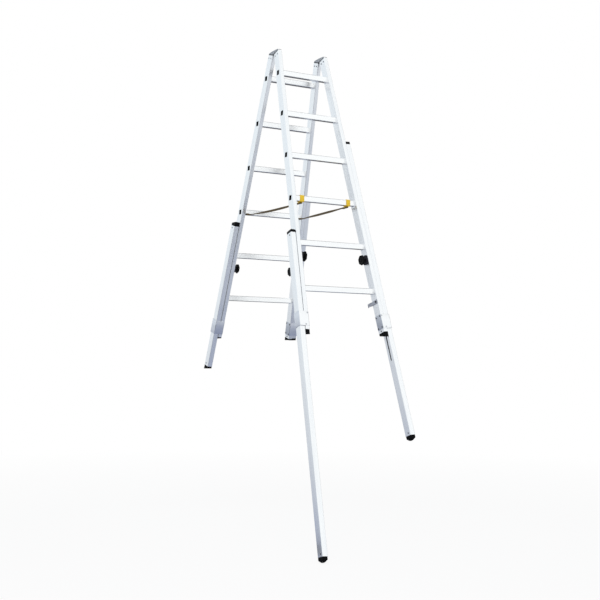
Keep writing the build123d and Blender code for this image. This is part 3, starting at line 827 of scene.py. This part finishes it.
# Strap clips and studs
# Glossy yellow plastic mouldings round the fourth front rung, with a slotted foot for the strap, and headed
# steel studs in the inner faces of the rear stiles.
YELLOW_LIGHT = (0.90, 0.62, 0.03)
YELLOW_DARK = (0.80, 0.50, 0.015)
CLIP_EDGE = 0.0007
yellow, shader, place = finish("yellow_clip")
cloud = place.noise(80.0, 3.0)
feed(
    shader, metallic=0.0,
    colour=cloud.range(0.3, 0.7).mix(YELLOW_DARK, YELLOW_LIGHT),
    roughness=cloud.range(0.3, 0.7, 0.28, 0.4),
    normal=bump(place.noise(700.0, 2.0), 0.1, 0.0003),
)
clips = merged_copy("strap_clips", "moulded_clips")
rounded(clips, CLIP_EDGE, 3)
stand_for(clips, "strap_clips", "front_section", yellow)
paint("strap_studs", zinc_plating)

# Restraint straps
# Brown woven webbing. One end is folded round the lower bar of the clip and sewn back on itself, the other
# makes a sewn eye round the stud. Between them the band twists a little and sags. It is built in five
# lengths.
STRAP_WIDTH = 0.020
STRAP_THICK = 0.0018
STRAP_SAGS = {"left": 0.008, "right": 0.002}
STRAP_ROLL = math.radians(20)
FLAT_AT_CLIP = 0.06
FLAT_AT_STUD = 0.08
ROLL_LENGTH = 0.16
CLIP_TAIL = ((0.044, -0.0048), (0.024, -0.0042), (-0.0050, -0.0042))
FOLD_MIDDLE = (-0.0060, -0.0021)
FOLD_RADIUS = 0.0021
FOLD_STEPS = 8
RUN_START = len(CLIP_TAIL) + FOLD_STEPS - 1
RUN_STEPS = 80
EYE_RADIUS = 0.0049
EYE_STEPS = 16
EYE_TURN = 215
EYE_TAIL = ((0.014, 0.0030), (0.020, 0.0020), (0.036, 0.0020), (0.056, 0.0020))
STITCH_SIZE = (0.0026, 0.0008, 0.0007)
STITCH_EDGE = 0.0003
STITCH_STEP = 0.0036
SEWN_HALF_WIDTH = 0.0068
# Each length of a band: its two ends as shares of the span, and the shares of the fold taken up there
STRAP_BENDS = (
    (0.0, 0.075, 0.0, 0.057), (0.075, 0.225, 0.057, 0.207), (0.225, 0.80, 0.207, 0.80),
    (0.80, 0.90, 0.80, 0.90), (0.90, 1.0, 0.90, 1.0),
)
# The sewn box on the first and the last length: the end of the span that it is measured from, its own two
# ends, and for its two faces the stitches' height and whether that is above the sloping band or the clip
SEWN_BOXES = {
    0: (0, 0.012, 0.040, ((-0.0052, 0), (0.0008, 1))),
    4: (1, -0.053, -0.023, ((-0.0010, 1), (0.0029, 1))),
}
WARP_LINES = 13
WEFT_LINES = 520
WEBBING_DARK = (0.105, 0.074, 0.040)
WEBBING_LIGHT = (0.215, 0.165, 0.095)
THREAD_DARK = (0.20, 0.17, 0.12)
THREAD_LIGHT = (0.30, 0.26, 0.19)
CLIP_SLOT = Vector((0.157, -0.3179, -0.9705))
STUD_MIDDLE = Vector((0.1881, 0.3040, -0.9621))
webbing, shader, place = finish("woven_webbing")
cloth = place.node("ShaderNodeTexCoord", None, None, "UV")
warp = place.math("SINE", cloth.along((0, 1, 0)) * (math.tau * WARP_LINES))
weft = place.math("SINE", cloth.along((1, 0, 0)) * (math.tau * WEFT_LINES))
weave = warp * weft * 0.5 + 0.5
wear = place.noise(55.0, 4.0)
feed(
    shader, metallic=0.0, specular=0.2,
    colour=(weave * 0.5 + wear * 0.5).range(0.25, 0.75).mix(WEBBING_DARK, WEBBING_LIGHT),
    roughness=wear.range(0.3, 0.7, 0.72, 0.9),
    normal=bump(weave, 0.5, 0.0004),
)
thread, shader, place = finish("sewing_thread")
twist = place.noise(900.0, 2.0)
feed(
    shader, metallic=0.0, specular=0.2,
    colour=twist.range(0.3, 0.7).mix(THREAD_DARK, THREAD_LIGHT),
    roughness=twist.range(0.3, 0.7, 0.6, 0.8),
    normal=bump(twist, 0.3, 0.0003),
)


def bend_from(first, last, turned_first, turned_last):
    """Start and end, as shares of the span, of a bend that has turned by given shares at two places."""
    turns = (turned_first, turned_last)
    low, high = (0.5 - math.sin(math.asin(1 - 2 * turned) / 3) for turned in turns)
    length = (last - first) / (high - low)
    return first - low * length, first - low * length + length


def band_height(share, rise, sag):
    """The height of the band's free run over the clip's slot, at a share of its span."""
    return share * (rise - EYE_RADIUS) - sag * 4 * share * (1 - share)


def webbing_line(span, rise, sag):
    """The band's middle line from its sewn tail at the clip to its sewn tail at the stud, as (along, up)."""
    line = list(CLIP_TAIL)
    for step in range(1, FOLD_STEPS):
        turn = math.radians(-90 - 180 * step / FOLD_STEPS)
        along = FOLD_MIDDLE[0] + FOLD_RADIUS * math.cos(turn)
        line.append((along, FOLD_MIDDLE[1] + FOLD_RADIUS * math.sin(turn)))
    for step in range(RUN_STEPS + 1):
        share = step / RUN_STEPS
        line.append((share * span, band_height(share, rise, sag)))
    for step in range(1, EYE_STEPS + 1):
        turn = math.radians(-90 + EYE_TURN * step / EYE_STEPS)
        line.append((span + EYE_RADIUS * math.cos(turn), rise + EYE_RADIUS * math.sin(turn)))
    for back, lift in EYE_TAIL:
        share = 1 - back / span
        line.append((share * span, band_height(share, rise, sag) + lift))
    return line


def sewn_box(first, last, half):
    """Stitches round a box and across its corners, as (along, across, angle)."""
    corners = ((first, -half), (last, -half), (last, half), (first, half))
    marks = []
    for start, end in ((0, 1), (1, 2), (2, 3), (3, 0), (0, 2), (1, 3)):
        along, across = corners[end][0] - corners[start][0], corners[end][1] - corners[start][1]
        count = round(math.hypot(along, across) / STITCH_STEP)
        for number in range(count):
            share = (number + 0.5) / count
            spot = corners[start][0] + along * share, corners[start][1] + across * share
            marks.append((*spot, math.atan2(across, along)))
    return marks


bpy.ops.object.select_all(action="DESELECT")
bpy.ops.mesh.primitive_cube_add(size=1.0)
stitch = bpy.context.object
bpy.ops.object.mode_set(mode="EDIT")
bpy.ops.transform.resize(value=STITCH_SIZE)
bpy.ops.object.mode_set(mode="OBJECT")
rounded(stitch, STITCH_EDGE, 2)
for side, sign in (("left", -1), ("right", 1)):
    clip = hinge + Vector((sign * CLIP_SLOT.x, CLIP_SLOT.y, CLIP_SLOT.z))
    stud = hinge + Vector((sign * STUD_MIDDLE.x, STUD_MIDDLE.y, STUD_MIDDLE.z))
    level = Vector((stud.x - clip.x, stud.y - clip.y, 0))
    span, rise = level.length, stud.z - clip.z
    level.normalize()
    lateral = level.cross((0, 0, 1))
    sag = STRAP_SAGS[side]
    line = webbing_line(span, rise, sag)
    last_station = len(line) - 1
    eye_station = last_station - EYE_STEPS - len(EYE_TAIL)
    for part, (first, last, turned_first, turned_last) in enumerate(STRAP_BENDS):
        start = RUN_START + round(first * RUN_STEPS) if first else 0
        end = RUN_START + round(last * RUN_STEPS) if last < 1 else last_station
        shares = bend_from(first, last, turned_first, turned_last)
        bend = [clip + level * (share * span) for share in shares]
        bpy.ops.object.select_all(action="DESELECT")
        bpy.ops.mesh.primitive_grid_add(x_subdivisions=end - start, y_subdivisions=8, size=1.0)
        band = bpy.context.object
        band.name = band.data.name = f"{side}_webbing_{part + 1}"
        for loop in band.data.uv_layers.active.data:
            loop.uv.x = (start + loop.uv.x * (end - start)) / last_station
        for vertex in band.data.vertices:
            station = start + round((vertex.co.x + 0.5) * (end - start))
            before, after = line[max(station - 1, 0)], line[min(station + 1, last_station)]
            along, up = line[station]
            tangent = level * (after[0] - before[0]) + Vector((0, 0, after[1] - before[1]))
            tangent.normalize()
            free = min(along - FLAT_AT_CLIP, span - FLAT_AT_STUD - along) / ROLL_LENGTH
            free = min(max(free, 0), 1)
            if station < len(CLIP_TAIL) or station > eye_station:
                free = 0
            turn = Matrix.Rotation(STRAP_ROLL * free * free * (3 - 2 * free), 3, tangent)
            across = turn @ lateral * (vertex.co.y * STRAP_WIDTH)
            vertex.co = clip + level * along + Vector((0, 0, up)) + across
        wall = band.modifiers.new("thickness", "SOLIDIFY")
        wall.thickness, wall.offset = STRAP_THICK, 0
        bpy.ops.object.modifier_apply(modifier=wall.name)
        bpy.ops.object.shade_smooth_by_angle(angle=math.radians(40))
        band.data.materials.append(webbing)
        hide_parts(side + "_strap")
        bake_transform(band)
        if part not in SEWN_BOXES:
            continue
        from_end, first, last, faces = SEWN_BOXES[part]
        first, last = from_end * span + first, from_end * span + last
        seats = []
        for along, across, angle in sewn_box(first, last, SEWN_HALF_WIDTH):
            share = along / span
            slope = (rise - EYE_RADIUS - sag * 4 * (1 - 2 * share)) / span
            heading = (level + Vector((0, 0, slope))) * math.cos(angle) + lateral * math.sin(angle)
            heading.normalize()
            beside = Vector((0, 0, 1)).cross(heading).normalized()
            turn = Matrix((heading, beside, heading.cross(beside))).transposed().to_4x4()
            for lift, follows in faces:
                height = follows * band_height(share, rise, sag) + lift
                spot = clip + level * along + lateral * across + Vector((0, 0, height))
                seats.append(Matrix.Translation(spot) @ turn)
        sewing = set_out(f"{side}_stitches_{part + 1}", stitch, seats, None, thread)
        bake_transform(sewing)
bpy.data.objects.remove(stitch)

# Floor
# A pale, smooth floor just under the lowest sole, white towards its far edge. Metal mirrors it as a cooler,
# darker ground, darkest close by, with dim sectors and a shaded spot.
FLOOR_SIZE = 60.0
FLOOR_GAP = 0.0005
FLOOR_COLOUR = (0.82, 0.82, 0.83, 1)
GROUND_NEAR = (0.31, 0.36, 0.51)
GROUND_MIDDLE = (0.53, 0.57, 0.65)
GROUND_FAR = (0.64, 0.68, 0.74)
GROUND_BRIGHT = (1.02, 1.03, 1.04)
GROUND_SHADED = (0.17, 0.19, 0.26)
NEAR_TO_MIDDLE = (0.6, 3.8)
MIDDLE_TO_FAR = (5.0, 14.0)
FAR_TO_BRIGHT = (9.0, 17.0)
WHITENED = (2.0, 7.0, 0.90, 1.0)
SHADED_SPOT = (1.55, -1.0, 0.0)
SHADED_REACH = (0.3, 0.8)
BRIGHT_SIDE = (0.49, -0.87, 0.0)
BRIGHT_SPREAD = (0.5, 0.8)
DIM = (0.05, 0.05, 0.06)
DIM_SIDE = (0.49, 0.87, 0.0)
DIM_SIDE_SPREAD = (0.72, 0.94)
DIM_CORNER = (-0.89, -0.45, 0.0)
DIM_CORNER_SPREAD = (0.88, 0.97)
MIRRORED_SHARE = 0.85
bpy.ops.object.select_all(action="DESELECT")
bpy.ops.mesh.primitive_plane_add(size=FLOOR_SIZE, location=(0, 0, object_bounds()[0][2] - FLOOR_GAP))
floor = bpy.context.object
floor.name = "floor"
material, shader, place = finish("pale_floor")
feed(shader, colour=FLOOR_COLOUR, roughness=0.7, specular=0.1)
seen = place.node("ShaderNodeLightPath", None, None, "Is Camera Ray")
mirrored = place.node("ShaderNodeLightPath", None, None, "Is Glossy Ray")
through = place.node("ShaderNodeLightPath", None, None, "Is Transmission Ray")
white = place.node("ShaderNodeEmission", None, {"Color": (1, 1, 1, 1), "Strength": 1.0})
heading = place.node("ShaderNodeVectorMath", {"operation": "NORMALIZE"}, {0: place}, "Vector")
distance = place.node("ShaderNodeVectorMath", {"operation": "LENGTH"}, {0: place}, "Value")
ground = distance.range(*NEAR_TO_MIDDLE).mix(GROUND_NEAR, GROUND_MIDDLE)
ground = distance.range(*MIDDLE_TO_FAR).mix(ground, GROUND_FAR)
bright = heading.along(BRIGHT_SIDE).range(*BRIGHT_SPREAD) * distance.range(*FAR_TO_BRIGHT)
ground = bright.mix(ground, GROUND_BRIGHT)
sockets = {0: place, 1: SHADED_SPOT}
shaded = place.node("ShaderNodeVectorMath", {"operation": "DISTANCE"}, sockets, "Value")
ground = shaded.range(*SHADED_REACH).mix(GROUND_SHADED, ground)
ground = heading.along(DIM_SIDE).range(*DIM_SIDE_SPREAD).mix(ground, DIM)
ground = heading.along(DIM_CORNER).range(*DIM_CORNER_SPREAD).mix(ground, DIM)
reflected = place.node("ShaderNodeEmission", None, {"Color": ground, "Strength": 1.0})
plain = place.node("ShaderNodeMixShader", None, {
    0: place.math("MAXIMUM", seen, through) * distance.range(*WHITENED),
    1: Socket(material.node_tree, shader.outputs[0]), 2: white,
})
shown = place.node("ShaderNodeMixShader", None, {0: mirrored * MIRRORED_SHARE, 1: plain, 2: reflected})
material.node_tree.links.new(shown.socket, material.node_tree.nodes["Material Output"].inputs["Surface"])
floor.data.materials.append(material)

# Surround and lamps
# The surround is bright, but dim at the rear right, and metal mirrors a dark patch in it overhead. Two large
# soft lamps stand in front of the ladder, the stronger one high up on the left.
SKYLINE = (0.74, 0.765, 0.80)
SKYLINE_RISE = (0.0, 0.15)
REAR_GLOW = (0.90, 0.96, 1.0)
FRONT_GLOW = (1.06, 1.085, 1.09)
FRONT_SIDE = (0.38, -0.85, 0.36)
FRONT_SPREAD = (-0.35, 0.45)
REAR_RIGHT = (0.88, 0.46, 0.12)
REAR_RIGHT_SPREAD = (0.76, 0.95)
CEILING = (0.10, 0.10, 0.11)
CEILING_SIDE = (0.47, 0.25, 0.85)
CEILING_SPREAD = (0.84, 0.93)
SURROUND_STRENGTH = 0.62
MIRRORED_EXTRA = 0.35
world = bpy.data.worlds.new("surround")
bpy.context.scene.world = world
world.use_nodes = True
tree = world.node_tree
start = Socket(tree, None)
seen = start.node("ShaderNodeLightPath", None, None, "Is Camera Ray")
mirrored = start.node("ShaderNodeLightPath", None, None, "Is Glossy Ray")
through = start.node("ShaderNodeLightPath", None, None, "Is Transmission Ray")
heading = start.node("ShaderNodeTexCoord", None, None, "Generated")
rear = heading.along((0, 0, 1)).range(*SKYLINE_RISE).mix(SKYLINE, REAR_GLOW)
glow = heading.along(FRONT_SIDE).range(*FRONT_SPREAD).mix(rear, FRONT_GLOW)
glow = heading.along(REAR_RIGHT).range(*REAR_RIGHT_SPREAD).mix(glow, DIM)
glow = (heading.along(CEILING_SIDE).range(*CEILING_SPREAD) * mirrored).mix(glow, CEILING)
strength = mirrored * MIRRORED_EXTRA + SURROUND_STRENGTH
surround = start.node("ShaderNodeBackground", None, {"Color": glow, "Strength": strength})
plain = start.node("ShaderNodeBackground", None, {"Color": (1, 1, 1, 1), "Strength": 1.0})
shown = start.node("ShaderNodeMixShader", None, {
    0: start.math("MAXIMUM", seen, through), 1: surround, 2: plain,
})
tree.links.new(shown.socket, tree.nodes["World Output"].inputs["Surface"])


def softbox(name, place, target, width, height, power):
    """A large soft lamp aimed at a point."""
    lamp = bpy.data.lights.new(name, "AREA")
    lamp.shape = "RECTANGLE"
    lamp.size, lamp.size_y, lamp.energy = width, height, power
    holder = bpy.data.objects.new(name, lamp)
    bpy.context.scene.collection.objects.link(holder)
    turn = (Vector(target) - Vector(place)).to_track_quat("-Z", "Y").to_matrix().to_4x4()
    holder.matrix_world = Matrix.Translation(place) @ turn
    holder.visible_glossy = False


softbox("key_softbox", (-2.6, -4.2, 6.0), (0, 0, 1.4), width=3.0, height=3.0, power=140)
softbox("fill_softbox", (5.0, -3.0, 3.0), (0, 0, 1.5), width=4.0, height=4.0, power=14)

# Camera
# Low at the front left of the ladder, as the photograph was taken, with the same focal length. Its place is
# given from the hinge, and its directions are those of the picture's right side and top.
SENSOR_WIDTH = 36.0
FOCAL_LENGTH = 64.158
CAMERA_FROM_HINGE = Vector((-3.17181, -5.69388, -1.95166))
CAMERA_RIGHT = Vector((0.871683, -0.490026, 0.006667))
CAMERA_UP = Vector((-0.038686, -0.055244, 0.997723))
FAR_LIMIT = 200.0
camera_data = bpy.data.cameras.new("photo_camera")
camera_data.sensor_width = SENSOR_WIDTH
camera_data.lens = FOCAL_LENGTH
camera_data.clip_end = FAR_LIMIT
camera = bpy.data.objects.new("photo_camera", camera_data)
bpy.context.scene.collection.objects.link(camera)
turn = Matrix((CAMERA_RIGHT, CAMERA_UP, CAMERA_RIGHT.cross(CAMERA_UP))).transposed().to_4x4()
camera.matrix_world = Matrix.Translation(hinge + CAMERA_FROM_HINGE) @ turn
bpy.context.scene.camera = camera
bpy.context.scene.view_settings.view_transform = "Standard"
